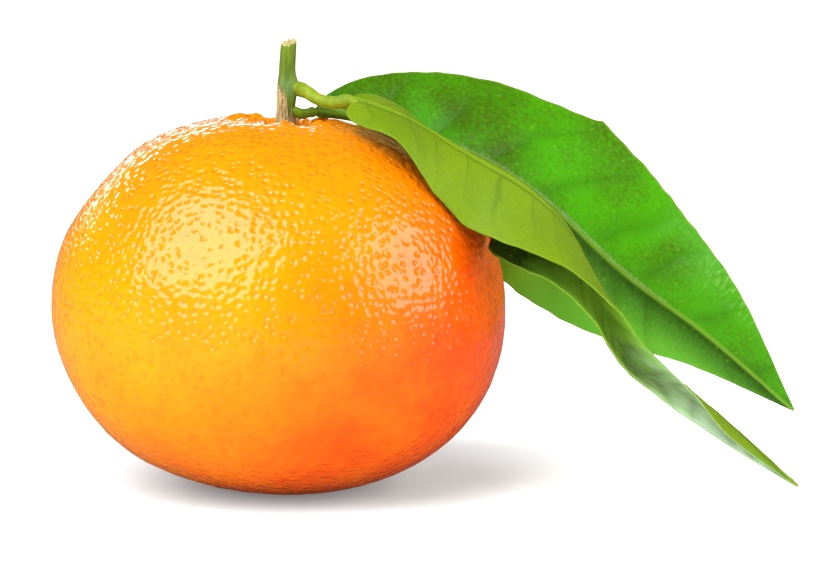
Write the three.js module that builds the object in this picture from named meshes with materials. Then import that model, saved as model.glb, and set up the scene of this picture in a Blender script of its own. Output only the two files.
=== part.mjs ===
// A mandarin as picked: the fruit with its calyx, a short cut twig and two leaves on their stalks.
// Millimetres, +Z up. The origin is on the floor, in the middle of the small flat spot that it rests on.
// The fruit stands with its stem end up, both leaves reach out towards +X, and -Y is the front.

import * as THREE from "three";

// ---- driving dimensions -------------------------------------------------------------------

const JOINT_GAP = 0.3; // clearance between pieces that grow on each other

const FRUIT_WIDTH = 66; // across the widest ring
const CROWN_HEIGHT = 28.6; // widest ring up to the stem end, before the hollow is pressed in
const BASE_HEIGHT = 26.6; // widest ring down to the flower end
const CROWN_FULLNESS = 2.1; // exponent of the outline above the widest ring, 2 is an ellipse
const BASE_FULLNESS = 2.14; // exponent of the outline below it
const REST_SINK = 0.8; // height lost where the peel is pressed flat against the floor
const LEAN_RIGHT = 4; // degrees that the fruit's axis leans towards +X
const LEAN_BACK = 2.5; // degrees that it leans towards +Y

const HOLLOW_DEPTH = 4.8; // hollow around the stem end
const HOLLOW_RADIUS = 5;
const HOLLOW_OFFSET = [-0.7, -0.6]; // the hollow's middle, off the fruit's axis
const FOLD_COUNT = 8; // soft folds of peel around the hollow
const FOLD_HEIGHT = 0.8;
const FOLD_RING = 5.8; // distance of the folds from the hollow's middle
const FOLD_SPREAD = 2.4;
const SCAR_DEPTH = 0.9; // small pit at the flower end
const SCAR_RADIUS = 2.2;

// Soft swellings and flats of the peel: azimuth, angle from the crown, width (degrees), height.
const SWELLINGS = [
  [180, 38, 12, 0.3],
  [180, 56, 13, -0.5],
  [180, 86, 16, 0.1],
  [180, 118, 15, -0.5],
  [180, 145, 14, 0.3],
  [20, 38, 10, -0.4],
  [75, 70, 20, 0.4],
  [120, 110, 22, -0.4],
  [-70, 95, 24, 0.3],
];

const CALYX_RADIUS = 2.7; // to the tips of its lobes
const CALYX_LOBES = 5;
const CALYX_NOTCH = 0.22; // depth of the notch between lobes, share of the radius
const CALYX_THICKNESS = 0.7;
const CALYX_SEAT = 0.42; // clearance under it, straight down, because the hollow's wall is steep

const TWIG_HEIGHT = 13.1; // from the calyx to the middle of the cut
const TWIG_WIDTH = 2.35; // above the upper stalk
const TWIG_FOOT_WIDTH = 2.9;
const TWIG_LEAN = 0.5; // how far the cut end stands to +X of the foot
const TWIG_CUT_SLANT = 0.6; // height of the cut's right edge over its left edge

const UPPER_STALK_WIDTH = 1.9;
const UPPER_STALK_JOIN = 6.3; // height on the twig, above the calyx
const LOWER_STALK_WIDTH = 1.5;
const LOWER_STALK_JOIN = 2.8;
const STALK_FLARE = 1.15; // width of a stalk's foot, as a share of the stalk's own width

const BLADE_THICKNESS = 0.42;
const MARGIN_THICKNESS = 0.24;
const MIDRIB_HEIGHT = 0.45; // how far the midrib stands out of the under side
const BLADE_CLEARANCE = 0.5; // the least room between a blade and the peel
const TIP_CLEARANCE = 1.8; // the least height of a leaf tip over the floor

const FRONT_LEAF_LENGTH = 90;
const FRONT_LEAF_HALF_WIDTH = 10.3;
const BACK_LEAF_LENGTH = 86;
const BACK_LEAF_HALF_WIDTH = 14.8;

// ---- helpers ------------------------------------------------------------------------------

const radians = THREE.MathUtils.degToRad;

const bump = (distance, width) => Math.exp(-((distance / width) ** 2));

// A smooth value along a list of stations, by finite-difference tangents.
function valueAlong(stations, values, at) {
  const last = stations.length - 1;
  const slope = (i) => {
    const before = Math.max(i - 1, 0);
    const after = Math.min(i + 1, last);
    return (values[after] - values[before]) / (stations[after] - stations[before]);
  };
  let i = 0;
  while (i < last - 1 && stations[i + 1] <= at) i += 1;
  const span = stations[i + 1] - stations[i];
  const t = (at - stations[i]) / span;
  const rise = t * t * (3 - 2 * t);
  return (
    values[i] * (1 - rise) +
    values[i + 1] * rise +
    slope(i) * span * t * (1 - t) ** 2 -
    slope(i + 1) * span * t * t * (1 - t)
  );
}

// A closed body from equal rings of points, with a fan to a middle point over each end ring.
function loft(rings) {
  const sides = rings[0].length;
  const middle = (ring) =>
    ring.reduce((sum, point) => sum.add(point), new THREE.Vector3()).divideScalar(sides);
  const points = [...rings.flat(), middle(rings[0]), middle(rings.at(-1))];
  const firstMiddle = rings.length * sides;
  const lastMiddle = firstMiddle + 1;
  const faces = [];
  for (let j = 0; j < sides; j += 1) {
    const k = (j + 1) % sides;
    for (let i = 0; i < rings.length - 1; i += 1) {
      const here = i * sides;
      const next = here + sides;
      faces.push(here + j, here + k, next + k, here + j, next + k, next + j);
    }
    const end = (rings.length - 1) * sides;
    faces.push(firstMiddle, k, j, lastMiddle, end + j, end + k);
  }
  const geometry = new THREE.BufferGeometry().setFromPoints(points);
  geometry.setIndex(faces);
  geometry.computeVertexNormals();
  return geometry;
}

function material(color, roughness) {
  return new THREE.MeshStandardMaterial({ color, roughness, metalness: 0 });
}

const part = new THREE.Group();

function addPiece(name, geometry, pieceMaterial) {
  const mesh = new THREE.Mesh(geometry, pieceMaterial);
  mesh.name = name;
  part.add(mesh);
}

// ---- fruit --------------------------------------------------------------------------------

const FRUIT_RADIUS = FRUIT_WIDTH / 2;
const FRUIT_LEAN = new THREE.Matrix4()
  .makeRotationY(radians(LEAN_RIGHT))
  .multiply(new THREE.Matrix4().makeRotationX(-radians(LEAN_BACK)));

// The lowest point of the leaning fruit, from its centre. The flat spot is pressed around it, which
// leaves the scar at the flower end a little to one side.
function lowestPoint() {
  const down = new THREE.Vector3(0, 0, -1).applyMatrix4(FRUIT_LEAN.clone().invert());
  const power = 1 / (BASE_FULLNESS - 1);
  const ring = Math.hypot(down.x, down.y);
  const across = FRUIT_RADIUS * ring;
  const below = BASE_HEIGHT * -down.z;
  const size = (across ** (power + 1) + below ** (power + 1)) ** (1 / BASE_FULLNESS);
  const out = ring > 0 ? (FRUIT_RADIUS * across ** power) / ring : 0;
  const point = new THREE.Vector3(down.x * out, down.y * out, -BASE_HEIGHT * below ** power);
  return point.divideScalar(size).applyMatrix4(FRUIT_LEAN);
}

const FRUIT_CENTRE = lowestPoint().negate();
FRUIT_CENTRE.z -= REST_SINK;
const FRUIT_PLACE = new THREE.Matrix4().makeTranslation(FRUIT_CENTRE).multiply(FRUIT_LEAN);

// Height that the hollow and its folds add to the crown at a point of the plan.
function crownRelief(x, y) {
  const fromMiddle = Math.hypot(x - HOLLOW_OFFSET[0], y - HOLLOW_OFFSET[1]);
  const azimuth = Math.atan2(y - HOLLOW_OFFSET[1], x - HOLLOW_OFFSET[0]);
  const folds = Math.cos(FOLD_COUNT * (azimuth + Math.PI / 2));
  return (
    -HOLLOW_DEPTH * bump(fromMiddle, HOLLOW_RADIUS) +
    FOLD_HEIGHT * folds * bump(fromMiddle - FOLD_RING, FOLD_SPREAD)
  );
}

// Height of the crown over the widest ring at a point of the plan, in the fruit's own frame.
function crownHeight(x, y) {
  const share = Math.hypot(x, y) / FRUIT_RADIUS;
  const dome = CROWN_HEIGHT * (1 - share ** CROWN_FULLNESS) ** (1 / CROWN_FULLNESS);
  return dome + crownRelief(x, y);
}

// The peel's surface in one direction from the fruit's centre, in the fruit's own frame.
function peelPoint(direction) {
  const { x, y, z } = direction;
  const ring = Math.hypot(x, y);
  const fullness = z > 0 ? CROWN_FULLNESS : BASE_FULLNESS;
  const height = z > 0 ? CROWN_HEIGHT : BASE_HEIGHT;
  const radius = FRUIT_RADIUS * ring ** (2 / fullness);
  const level = height * Math.sign(z) * Math.abs(z) ** (2 / fullness);
  const out = ring > 0 ? radius / ring : 0;
  const point = new THREE.Vector3(x * out, y * out, level);
  if (z > 0) point.z += crownRelief(point.x, point.y);
  else point.z += SCAR_DEPTH * bump(radius, SCAR_RADIUS);
  for (const [azimuth, fromCrown, width, rise] of SWELLINGS) {
    const centre = new THREE.Vector3().setFromSphericalCoords(1, radians(fromCrown), 0);
    centre.set(centre.z * Math.cos(radians(azimuth)), centre.z * Math.sin(radians(azimuth)), centre.y);
    point.addScaledVector(direction, rise * bump(direction.distanceTo(centre), radians(width)));
  }
  return point;
}

const CROWN_CROWDING = 1.6; // above 1, the mesh has closer rings around the hollow
const BASE_CROWDING = 1.3; // the same around the scar, so that its pit stays its own size

// Angle from the crown of one ring of the mesh, from 0 at the crown to 1 at the base.
function ringAngle(share) {
  const fromCrown = share ** CROWN_CROWDING;
  const fromBase = 1 - (1 - share) ** BASE_CROWDING;
  return Math.PI * (fromCrown * (1 - share) + fromBase * share);
}

function fruitGeometry() {
  const geometry = new THREE.SphereGeometry(1, 64, 44).rotateX(Math.PI / 2);
  const positions = geometry.attributes.position;
  for (let i = 0; i < positions.count; i += 1) {
    const direction = new THREE.Vector3().fromBufferAttribute(positions, i).normalize();
    const azimuth = Math.atan2(direction.y, direction.x);
    const fromCrown = ringAngle(Math.acos(direction.z) / Math.PI);
    direction.set(
      Math.sin(fromCrown) * Math.cos(azimuth),
      Math.sin(fromCrown) * Math.sin(azimuth),
      Math.cos(fromCrown),
    );
    if (Math.abs(direction.z) > 0.999999) direction.set(0, 0, Math.sign(direction.z));
    const point = peelPoint(direction).applyMatrix4(FRUIT_PLACE);
    point.z = Math.max(point.z, 0);
    positions.setXYZ(i, point.x, point.y, point.z);
  }
  geometry.computeVertexNormals();
  return geometry;
}

addPiece("fruit", fruitGeometry(), material("#f59a12", 0.35));

// ---- calyx: a thin five-lobed button that lies in the hollow --------------------------------

// A point over the hollow, in the fruit's own frame, moved to the part's frame.
function overHollow(x, y, rise) {
  const planX = HOLLOW_OFFSET[0] + x;
  const planY = HOLLOW_OFFSET[1] + y;
  return new THREE.Vector3(planX, planY, crownHeight(planX, planY) + rise).applyMatrix4(FRUIT_PLACE);
}

function calyxGeometry() {
  const sides = CALYX_LOBES * 8;
  const reach = [0.25, 0.5, 0.75, 1];
  const ringAt = (share, rise) =>
    Array.from({ length: sides }, (_, j) => {
      const azimuth = (2 * Math.PI * j) / sides;
      const lobe = 1 - CALYX_NOTCH * (0.5 - 0.5 * Math.cos(CALYX_LOBES * azimuth)) * share ** 2;
      const radius = CALYX_RADIUS * share * lobe;
      return overHollow(radius * Math.cos(azimuth), radius * Math.sin(azimuth), rise);
    });
  const under = reach.map((share) => ringAt(share, CALYX_SEAT));
  const over = reach.map((share) => {
    const rise = CALYX_SEAT + CALYX_THICKNESS * (1 - 0.6 * share ** 3);
    return ringAt(share, rise);
  });
  return loft([...under, ...over.reverse()]);
}

addPiece("calyx", calyxGeometry(), material("#5d7a2a", 0.6));

// ---- twig and leaf stalks -------------------------------------------------------------------

// A round bar along a curve: widths are set at stations of its length.
function bar(path, stations, widths, steps, sides) {
  const curve = new THREE.CatmullRomCurve3(path);
  const rings = [];
  for (let i = 0; i <= steps; i += 1) {
    const at = i / steps;
    const middle = curve.getPointAt(at);
    const along = curve.getTangentAt(at);
    const back = new THREE.Vector3(0, 1, 0).addScaledVector(along, -along.y).normalize();
    const up = new THREE.Vector3().crossVectors(along, back);
    const radius = valueAlong(stations, widths, at) / 2;
    rings.push(
      Array.from({ length: sides }, (_, j) => {
        const angle = (2 * Math.PI * j) / sides;
        return middle
          .clone()
          .addScaledVector(back, radius * Math.cos(angle))
          .addScaledVector(up, radius * Math.sin(angle));
      }),
    );
  }
  return rings;
}

// The calyx is a shallow dish, so the twig's foot stands on the highest of it within the foot's width.
const TWIG_FOOT = overHollow(0, 0, CALYX_SEAT + CALYX_THICKNESS);
for (let azimuth = 0; azimuth < 360; azimuth += 15) {
  const x = (TWIG_FOOT_WIDTH / 2) * Math.cos(radians(azimuth));
  const y = (TWIG_FOOT_WIDTH / 2) * Math.sin(radians(azimuth));
  const seat = overHollow(x, y, CALYX_SEAT + CALYX_THICKNESS);
  TWIG_FOOT.z = Math.max(TWIG_FOOT.z, seat.z + JOINT_GAP);
}

const twigMiddle = (height) =>
  new THREE.Vector3(
    TWIG_FOOT.x + TWIG_LEAN * (height / TWIG_HEIGHT) ** 2,
    TWIG_FOOT.y,
    TWIG_FOOT.z + height,
  );

const TWIG_NODE_WIDTH = Math.max(TWIG_WIDTH * 1.12, UPPER_STALK_WIDTH * STALK_FLARE);
const TWIG_STATIONS = [0, 0.25, 0.5, 0.6, 0.72, 0.9, 1];
const TWIG_WIDTHS = [
  TWIG_FOOT_WIDTH,
  TWIG_FOOT_WIDTH * 0.96,
  TWIG_NODE_WIDTH,
  TWIG_NODE_WIDTH,
  TWIG_WIDTH,
  TWIG_WIDTH,
  TWIG_WIDTH * 0.96,
];

const twigWidthAt = (height) => valueAlong(TWIG_STATIONS, TWIG_WIDTHS, height / TWIG_HEIGHT);

function twigGeometry() {
  const path = [0, 0.25, 0.5, 0.75, 1].map((share) => twigMiddle(share * TWIG_HEIGHT));
  const rings = bar(path, TWIG_STATIONS, TWIG_WIDTHS, 14, 16);
  const cut = rings.at(-1);
  for (const point of cut) {
    const across = (point.x - twigMiddle(TWIG_HEIGHT).x) / TWIG_WIDTH;
    point.z += TWIG_CUT_SLANT * across;
  }
  return loft(rings);
}

addPiece("twig", twigGeometry(), material("#7f8f3c", 0.7));

// A stalk leaves the twig at a height and follows offsets from there. Its route is chosen by hand.
// The slanted end of its foot is moved out until it clears the twig.
function stalkPath(joinHeight, width, offsets) {
  const start = twigMiddle(joinHeight);
  const leaving = new THREE.Vector3(...offsets[1]).normalize();
  const footReach = ((STALK_FLARE * width) / 2) * Math.sqrt(1 - leaving.x ** 2);
  start.x += twigWidthAt(joinHeight) / 2 + JOINT_GAP + footReach;
  return offsets.map(([x, y, z]) => new THREE.Vector3(start.x + x, start.y + y, start.z + z));
}

const STALK_STATIONS = [0, 0.12, 0.5, 0.85, 1];

const UPPER_STALK_PATH = stalkPath(UPPER_STALK_JOIN, UPPER_STALK_WIDTH, [
  [0, 0, 0],
  [0.9, -0.4, -0.4],
  [2.5, -1.6, -1.3],
  [4.7, -3, -1.6],
  [6.6, -3.9, -1.3],
]);
const STALK_SHARES = [STALK_FLARE, 1.04, 0.96, 1, 1.05];
const UPPER_STALK_WIDTHS = STALK_SHARES.map((share) => share * UPPER_STALK_WIDTH);

const LOWER_STALK_PATH = stalkPath(LOWER_STALK_JOIN, LOWER_STALK_WIDTH, [
  [0, 0, 0],
  [0.6, 0.3, 0],
  [1.2, 0.9, 0.05],
  [1.6, 1.7, 0.1],
]);
const LOWER_STALK_WIDTHS = STALK_SHARES.map((share) => share * LOWER_STALK_WIDTH);

addPiece(
  "upper_stalk",
  loft(bar(UPPER_STALK_PATH, STALK_STATIONS, UPPER_STALK_WIDTHS, 12, 12)),
  material("#a7b23e", 0.5),
);
addPiece(
  "lower_stalk",
  loft(bar(LOWER_STALK_PATH, STALK_STATIONS, LOWER_STALK_WIDTHS, 8, 12)),
  material("#6f8f35", 0.5),
);

// ---- leaves ---------------------------------------------------------------------------------

// Moves a point of a blade out of the peel, as far as the blade's clearance asks.
const FRUIT_PLACE_BACK = FRUIT_PLACE.clone().invert();

function clearOfPeel(point, room) {
  const local = point.clone().applyMatrix4(FRUIT_PLACE_BACK);
  const fullness = local.z > 0 ? CROWN_FULLNESS : BASE_FULLNESS;
  const height = (local.z > 0 ? CROWN_HEIGHT : BASE_HEIGHT) + room;
  const across = Math.hypot(local.x, local.y) / (FRUIT_RADIUS + room);
  const reach = (across ** fullness + (Math.abs(local.z) / height) ** fullness) ** (1 / fullness);
  if (reach < 1) local.divideScalar(reach);
  return local.applyMatrix4(FRUIT_PLACE);
}

// A leaf that would reach the floor swings up about its base until the tip clears it.
function swingClearOfFloor(route, room) {
  const tip = route.at(-1);
  const reach = Math.hypot(tip.x, tip.z);
  const swing = Math.asin(-tip.z / reach) - Math.asin(Math.min(1, room / reach));
  if (swing <= 0) return;
  const turn = new THREE.Matrix4().makeRotationY(-swing);
  for (const point of route) point.applyMatrix4(turn);
}

// A blade is two halves on a midrib. In the section across the midrib, each half lies at an angle
// from "hanging down" (0) through "to the front" (90) to "standing up" (180), set along its length.
function bladeRings(leaf, steps, columns) {
  const base = leaf.stalk.at(-1).clone();
  base.x += JOINT_GAP + leaf.stalkWidth * 0.1;
  const route = leaf.route.map(([x, y, z]) => new THREE.Vector3(x, y, z));
  const scale = leaf.length / new THREE.CatmullRomCurve3(route).getLength();
  for (const point of route) point.multiplyScalar(scale);
  swingClearOfFloor(route, base.z - TIP_CLEARANCE);
  const curve = new THREE.CatmullRomCurve3(route);
  curve.arcLengthDivisions = 400;
  const peak = leaf.fullestAt;
  const outline = (at) =>
    (at / peak) ** leaf.taper * ((1 - at) / (1 - peak)) ** ((leaf.taper * (1 - peak)) / peak);
  const front = new THREE.Vector3(0, -1, 0);
  const shares = Array.from({ length: columns + 1 }, (_, j) => j / columns);
  const rings = [];
  for (let i = 0; i <= steps; i += 1) {
    const at = 0.004 + (0.992 * i) / steps;
    const along = curve.getTangentAt(at);
    const middle = curve.getPointAt(at).add(base);
    const forward = front.clone().addScaledVector(along, -along.dot(front)).normalize();
    const down = new THREE.Vector3().crossVectors(along, forward);
    const halfWidth = leaf.halfWidth * outline(at) + 0.5 * leaf.stalkWidth * (1 - at) ** 6;
    const half = (angles, curl) => {
      const angle = radians(valueAlong(leaf.stations, angles, at));
      const turn = radians(curl);
      return shares.map((share) => {
        const start = angle - turn / 2;
        const reach = halfWidth / turn;
        return middle
          .clone()
          .addScaledVector(down, reach * (Math.sin(start + turn * share) - Math.sin(start)))
          .addScaledVector(forward, reach * (Math.cos(start) - Math.cos(start + turn * share)));
      });
    };
    const near = half(leaf.nearAngles, -leaf.curl);
    const far = half(leaf.farAngles, leaf.curl);
    const section = [...far.reverse(), ...near.slice(1)];
    const room = BLADE_CLEARANCE + BLADE_THICKNESS;
    rings.push(section.map((point) => clearOfPeel(point, room)));
  }
  return rings;
}

// The blade's solid: the sheet's points moved half a thickness to each side, thinner at the margins.
// The midrib stands out of the leaf's under side, which is the outside of the fold on the front leaf.
function bladeGeometry(leaf) {
  const columns = 6;
  const sheet = bladeRings(leaf, 44, columns);
  const rings = sheet.map((section, i) => {
    const before = sheet[Math.max(i - 1, 0)];
    const after = sheet[Math.min(i + 1, sheet.length - 1)];
    const upper = [];
    const lower = [];
    section.forEach((point, j) => {
      const left = section[Math.max(j - 1, 0)];
      const right = section[Math.min(j + 1, section.length - 1)];
      const along = after[j].clone().sub(before[j]);
      const normal = right.clone().sub(left).cross(along).normalize();
      const fromMidrib = Math.abs(j - columns) / columns;
      const fade = 1 - (i / sheet.length) ** 2;
      const thickness = BLADE_THICKNESS + (MARGIN_THICKNESS - BLADE_THICKNESS) * fromMidrib;
      const rib = fromMidrib === 0 ? MIDRIB_HEIGHT * fade : 0;
      const above = leaf.ribAbove ? rib : 0;
      upper.push(point.clone().addScaledVector(normal, thickness / 2 + above));
      lower.push(point.clone().addScaledVector(normal, above - thickness / 2 - rib));
    });
    return [...upper, ...lower.reverse()];
  });
  return loft(rings);
}

const FRONT_LEAF = {
  stalk: UPPER_STALK_PATH,
  stalkWidth: UPPER_STALK_WIDTH,
  length: FRONT_LEAF_LENGTH,
  halfWidth: FRONT_LEAF_HALF_WIDTH,
  fullestAt: 0.31,
  taper: 0.46,
  curl: 26,
  ribAbove: true,
  route: [
    [0, 0, 0],
    [7.3, -1.6, -2.2],
    [16.3, -3.5, -7.1],
    [25.7, -7.4, -12.2],
    [31.8, -7.6, -18.9],
    [35.4, -5.6, -28.4],
    [40.6, -4.1, -37.7],
    [49.5, -4.8, -42.2],
    [56.3, -6.4, -47.6],
    [64.2, -8.4, -54.7],
  ],
  stations: [0, 0.1, 0.2, 0.3, 0.4, 0.5, 0.6, 0.7, 0.78, 0.87, 1],
  nearAngles: [60, 73, 53, 33, 58, 96, 113, 120, 97, 68, 60],
  farAngles: [-110, -87, -60, -20, 27, 73, 83, 82, 57, 42, 28],
};

const BACK_LEAF = {
  stalk: LOWER_STALK_PATH,
  stalkWidth: LOWER_STALK_WIDTH,
  length: BACK_LEAF_LENGTH,
  halfWidth: BACK_LEAF_HALF_WIDTH,
  fullestAt: 0.42,
  taper: 0.74,
  curl: 14,
  ribAbove: false,
  route: [
    [0, 0, 0],
    [12.1, 3.5, -3.1],
    [24.3, 6.2, -7.3],
    [34.4, 5.8, -14.2],
    [45.6, 5.8, -24.4],
    [57.6, 4, -33.2],
    [70.6, 1.2, -44.3],
  ],
  stations: [0, 0.15, 0.3, 0.5, 0.7, 0.85, 1],
  nearAngles: [-109, -78, -46, -22, -36, -47, -52],
  farAngles: [215, 221, 221, 202, 184, 162, 146],
};

addPiece("front_leaf", bladeGeometry(FRONT_LEAF), material("#8fb51f", 0.5));
addPiece("back_leaf", bladeGeometry(BACK_LEAF), material("#3f8a12", 0.35));

export default part;
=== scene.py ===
import math

import bpy
from mathutils import Euler, Matrix, Vector, noise


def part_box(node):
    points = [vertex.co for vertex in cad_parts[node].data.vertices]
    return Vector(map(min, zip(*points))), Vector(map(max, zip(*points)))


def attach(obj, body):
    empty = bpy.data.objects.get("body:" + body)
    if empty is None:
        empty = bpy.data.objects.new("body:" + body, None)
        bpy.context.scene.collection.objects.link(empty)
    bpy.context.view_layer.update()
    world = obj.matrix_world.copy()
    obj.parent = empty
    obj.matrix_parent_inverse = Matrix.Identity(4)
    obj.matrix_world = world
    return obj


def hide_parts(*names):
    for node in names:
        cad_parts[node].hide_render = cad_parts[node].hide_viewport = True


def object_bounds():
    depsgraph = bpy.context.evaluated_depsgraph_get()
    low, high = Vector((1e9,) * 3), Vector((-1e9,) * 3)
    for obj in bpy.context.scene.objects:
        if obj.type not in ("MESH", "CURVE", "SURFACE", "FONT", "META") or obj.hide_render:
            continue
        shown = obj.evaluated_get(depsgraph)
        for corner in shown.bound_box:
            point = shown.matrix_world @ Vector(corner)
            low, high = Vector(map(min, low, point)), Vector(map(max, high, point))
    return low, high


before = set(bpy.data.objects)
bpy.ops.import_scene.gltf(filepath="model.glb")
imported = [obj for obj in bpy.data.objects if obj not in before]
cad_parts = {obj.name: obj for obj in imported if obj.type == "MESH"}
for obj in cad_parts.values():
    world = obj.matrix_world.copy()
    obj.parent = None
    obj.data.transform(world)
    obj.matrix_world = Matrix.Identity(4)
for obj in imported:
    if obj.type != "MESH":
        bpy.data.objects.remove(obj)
cad_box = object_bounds()
scene = bpy.context.scene


# ---- fruit --------------------------------------------------------------------------------------
# The fruit is one grown piece: a flattened ball in thin oily peel, full of round oil glands, with a
# folded hollow at the stem end and a small scar at the flower end. It rests on a spot pressed flat.

FRUIT_WIDTH = 0.066
CROWN_HEIGHT = 0.0286
BASE_HEIGHT = 0.0266
CROWN_FULLNESS = 2.1
BASE_FULLNESS = 2.14
LEAN = Euler((math.radians(-2.5), math.radians(4), 0))
HOLLOW_DEPTH = 0.0048
HOLLOW_RADIUS = 0.005
HOLLOW_X = -0.0007
HOLLOW_Y = -0.0006
FOLD_COUNT = 8
FOLD_HEIGHT = 0.0008
FOLD_RING = 0.0058
FOLD_SPREAD = 0.0024
WRINKLE_COUNT = 37
WRINKLE_HEIGHT = 0.0003
SCAR_DEPTH = 0.0009
SCAR_RADIUS = 0.0022
WIDEST_RING_HEIGHT = 0.0259  # of the widest ring over the floor
PEBBLE_SIZE = 0.0026
PEBBLE_HEIGHT = 0.0001
GLAND_SPACING = 0.0012
FRUIT_GRID = 128  # vertices along each edge of the ball's six patches

# Soft swellings and flats of the peel: azimuth, angle from the crown, width (degrees), height.
SWELLINGS = [
    (180, 38, 12, 0.0003),
    (180, 56, 13, -0.0005),
    (180, 86, 16, 0.0001),
    (180, 118, 15, -0.0005),
    (180, 145, 14, 0.0003),
    (20, 38, 10, -0.0004),
    (75, 70, 20, 0.0004),
    (120, 110, 22, -0.0004),
    (-70, 95, 24, 0.0003),
]

fruit_low, fruit_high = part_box("fruit")
FRUIT_CENTRE = (fruit_low + fruit_high) / 2
FRUIT_CENTRE.z = WIDEST_RING_HEIGHT


class Term:
    """One output in a node tree. Arithmetic on terms adds the Math nodes that work it out."""

    def __init__(self, tree, socket):
        self.tree = tree
        self.socket = socket

    def __add__(self, other):
        return calc(self.tree, "ADD", self, other)

    def __radd__(self, other):
        return calc(self.tree, "ADD", other, self)

    def __sub__(self, other):
        return calc(self.tree, "SUBTRACT", self, other)

    def __rsub__(self, other):
        return calc(self.tree, "SUBTRACT", other, self)

    def __mul__(self, other):
        return calc(self.tree, "MULTIPLY", self, other)

    def __truediv__(self, other):
        return calc(self.tree, "DIVIDE", self, other)

    def __rtruediv__(self, other):
        return calc(self.tree, "DIVIDE", other, self)

    def __pow__(self, other):
        return calc(self.tree, "POWER", self, other)


def put(tree, value, socket):
    """Feeds a term into a socket, or sets the socket to a plain value."""
    if isinstance(value, Term):
        tree.links.new(value.socket, socket)
    else:
        socket.default_value = value


def calc(tree, operation, *values):
    """A Math node on one, two or three numbers."""
    node = tree.nodes.new("ShaderNodeMath")
    node.operation = operation
    for value, socket in zip(values, node.inputs):
        put(tree, value, socket)
    return Term(tree, node.outputs[0])


def vector_calc(tree, operation, first, second=None):
    """A Vector Math node on one or two values. It puts out a number for a distance."""
    node = tree.nodes.new("ShaderNodeVectorMath")
    node.operation = operation
    put(tree, first, node.inputs[0])
    if second is not None:
        put(tree, second, node.inputs["Scale" if operation == "SCALE" else 1])
    return Term(tree, node.outputs["Value" if operation == "DISTANCE" else "Vector"])


def split(tree, vector):
    node = tree.nodes.new("ShaderNodeSeparateXYZ")
    put(tree, vector, node.inputs[0])
    return [Term(tree, output) for output in node.outputs]


def merge(tree, x, y, z):
    node = tree.nodes.new("ShaderNodeCombineXYZ")
    for value, socket in zip((x, y, z), node.inputs):
        put(tree, value, socket)
    return Term(tree, node.outputs[0])


def bump(tree, distance, width):
    """A soft round hill: 1 in its middle, near 0 at twice its width."""
    share = distance / width
    return calc(tree, "EXPONENT", share * share * -1.0)


def clouds(tree, position, size, detail=2.0):
    """A soft cloudy pattern from 0 to 1, of one feature size in metres."""
    node = tree.nodes.new("ShaderNodeTexNoise")
    put(tree, position, node.inputs["Vector"])
    put(tree, 1.0 / size, node.inputs["Scale"])
    node.inputs["Detail"].default_value = detail
    return Term(tree, node.outputs[0])


def cells(tree, position, size, feature="F1", randomness=1.0):
    """A pattern of cells of one size: how far it is to a cell's middle, or to its edge."""
    node = tree.nodes.new("ShaderNodeTexVoronoi")
    node.feature = feature
    put(tree, position, node.inputs["Vector"])
    put(tree, 1.0 / size, node.inputs["Scale"])
    node.inputs["Randomness"].default_value = randomness
    return Term(tree, node.outputs["Distance"])


def new_tree(name, kind, inputs, outputs):
    """An empty node group with named inputs and outputs, and its input terms by name."""
    tree = bpy.data.node_groups.new(name, kind)
    for socket_name, socket_type in inputs.items():
        tree.interface.new_socket(socket_name, in_out="INPUT", socket_type="NodeSocket" + socket_type)
    for socket_name, socket_type in outputs.items():
        tree.interface.new_socket(socket_name, in_out="OUTPUT", socket_type="NodeSocket" + socket_type)
    source = tree.nodes.new("NodeGroupInput")
    given = {name: Term(tree, source.outputs[name]) for name in inputs}
    return tree, given, tree.nodes.new("NodeGroupOutput")


def grow(name, tree, sizes, start):
    """A plain mesh piece, made by a Geometry Nodes tree from its named sizes."""
    piece = bpy.data.objects.new(name, start)
    scene.collection.objects.link(piece)
    modifier = piece.modifiers.new("grown", "NODES")
    modifier.node_group = tree
    for item in tree.interface.items_tree:
        if item.in_out == "INPUT" and item.name in sizes:
            modifier[item.identifier] = sizes[item.name]
    evaluated = piece.evaluated_get(bpy.context.evaluated_depsgraph_get())
    mesh = bpy.data.meshes.new_from_object(evaluated)
    piece.modifiers.remove(modifier)
    piece.data = mesh
    return piece


FRUIT_SIZES = {
    "Width": FRUIT_WIDTH,
    "Crown Height": CROWN_HEIGHT,
    "Base Height": BASE_HEIGHT,
    "Crown Fullness": CROWN_FULLNESS,
    "Base Fullness": BASE_FULLNESS,
    "Hollow Depth": HOLLOW_DEPTH,
    "Hollow Radius": HOLLOW_RADIUS,
    "Fold Height": FOLD_HEIGHT,
    "Fold Ring": FOLD_RING,
    "Fold Spread": FOLD_SPREAD,
    "Wrinkle Height": WRINKLE_HEIGHT,
    "Scar Depth": SCAR_DEPTH,
    "Scar Radius": SCAR_RADIUS,
    "Pebble Height": PEBBLE_HEIGHT,
}


def ball_direction(tree, grid_point):
    """Even directions over a ball, from the points of a cube of half size 1."""
    bent = [calc(tree, "TANGENT", part * (math.pi / 4)) for part in split(tree, grid_point)]
    return vector_calc(tree, "NORMALIZE", merge(tree, *bent))


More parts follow.
